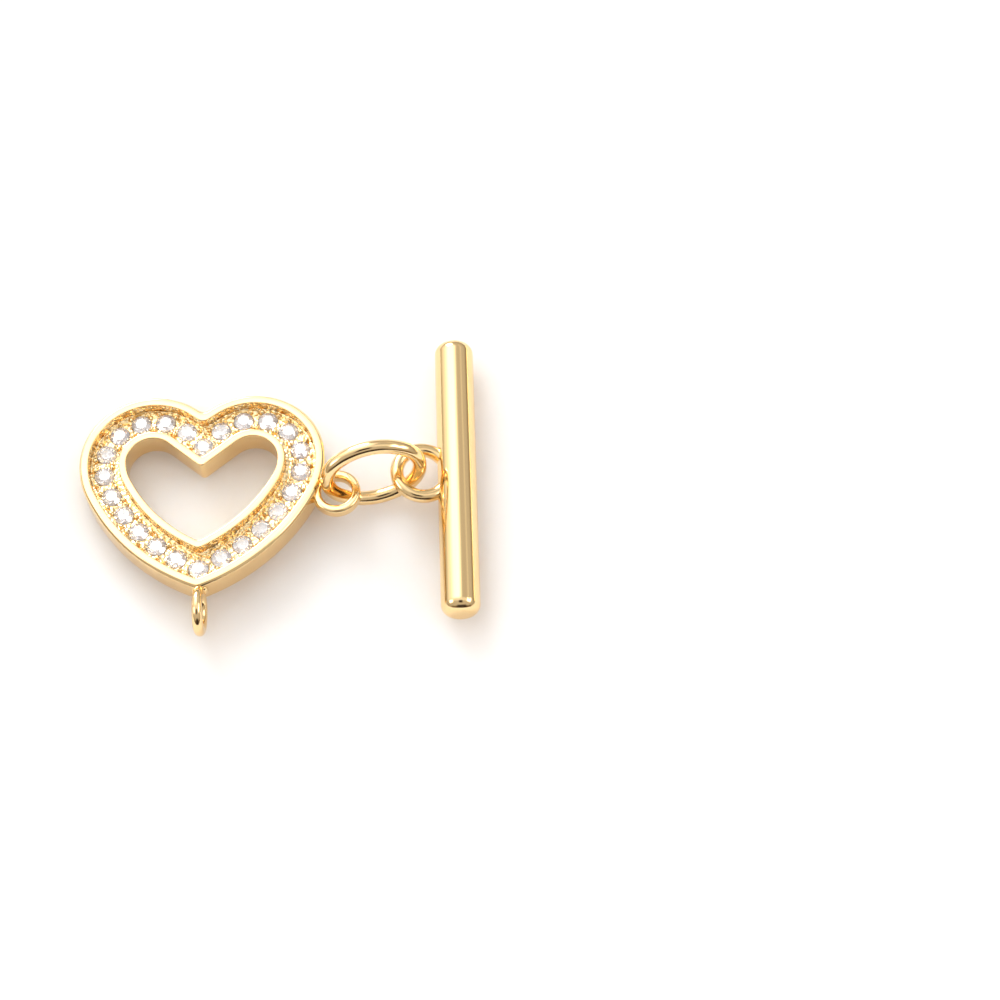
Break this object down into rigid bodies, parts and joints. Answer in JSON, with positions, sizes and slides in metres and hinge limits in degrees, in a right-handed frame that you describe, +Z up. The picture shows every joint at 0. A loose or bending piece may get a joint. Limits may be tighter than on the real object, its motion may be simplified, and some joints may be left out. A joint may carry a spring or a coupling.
{
  "type": "heart toggle clasp",
  "caption": "Toggle clasp: an open heart frame set with round clear stones, joined by an oval link to a round-ended bar, with a loop at the heart's tip.",
  "frame": {"origin": "under the middle of the whole clasp's box, on the surface that it lies on", "axes": "+X from the heart to the bar, +Y from the heart's tip to its lobes, +Z up, out of the stone-set front"},
  "size_m": [0.0266, 0.0216, 0.0053],
  "materials": {
    "gold": "polished pale gold plating",
    "stone": "clear, cut as round brilliants"
  },
  "bodies": {
    "root": {"heart_frame": "gold", "oval_link": "gold", "toggle_bar": "gold", "stone_01": "stone", "stone_02": "stone", "stone_03": "stone", "stone_04": "stone", "stone_05": "stone", "stone_06": "stone", "stone_07": "stone", "stone_08": "stone", "stone_09": "stone", "stone_10": "stone", "stone_11": "stone", "stone_12": "stone", "stone_13": "stone", "stone_14": "stone", "stone_15": "stone", "stone_16": "stone", "stone_17": "stone", "stone_18": "stone", "stone_19": "stone", "stone_20": "stone", "stone_21": "stone", "stone_22": "stone", "stone_23": "stone", "stone_24": "stone"}
  },
  "joints": []
}
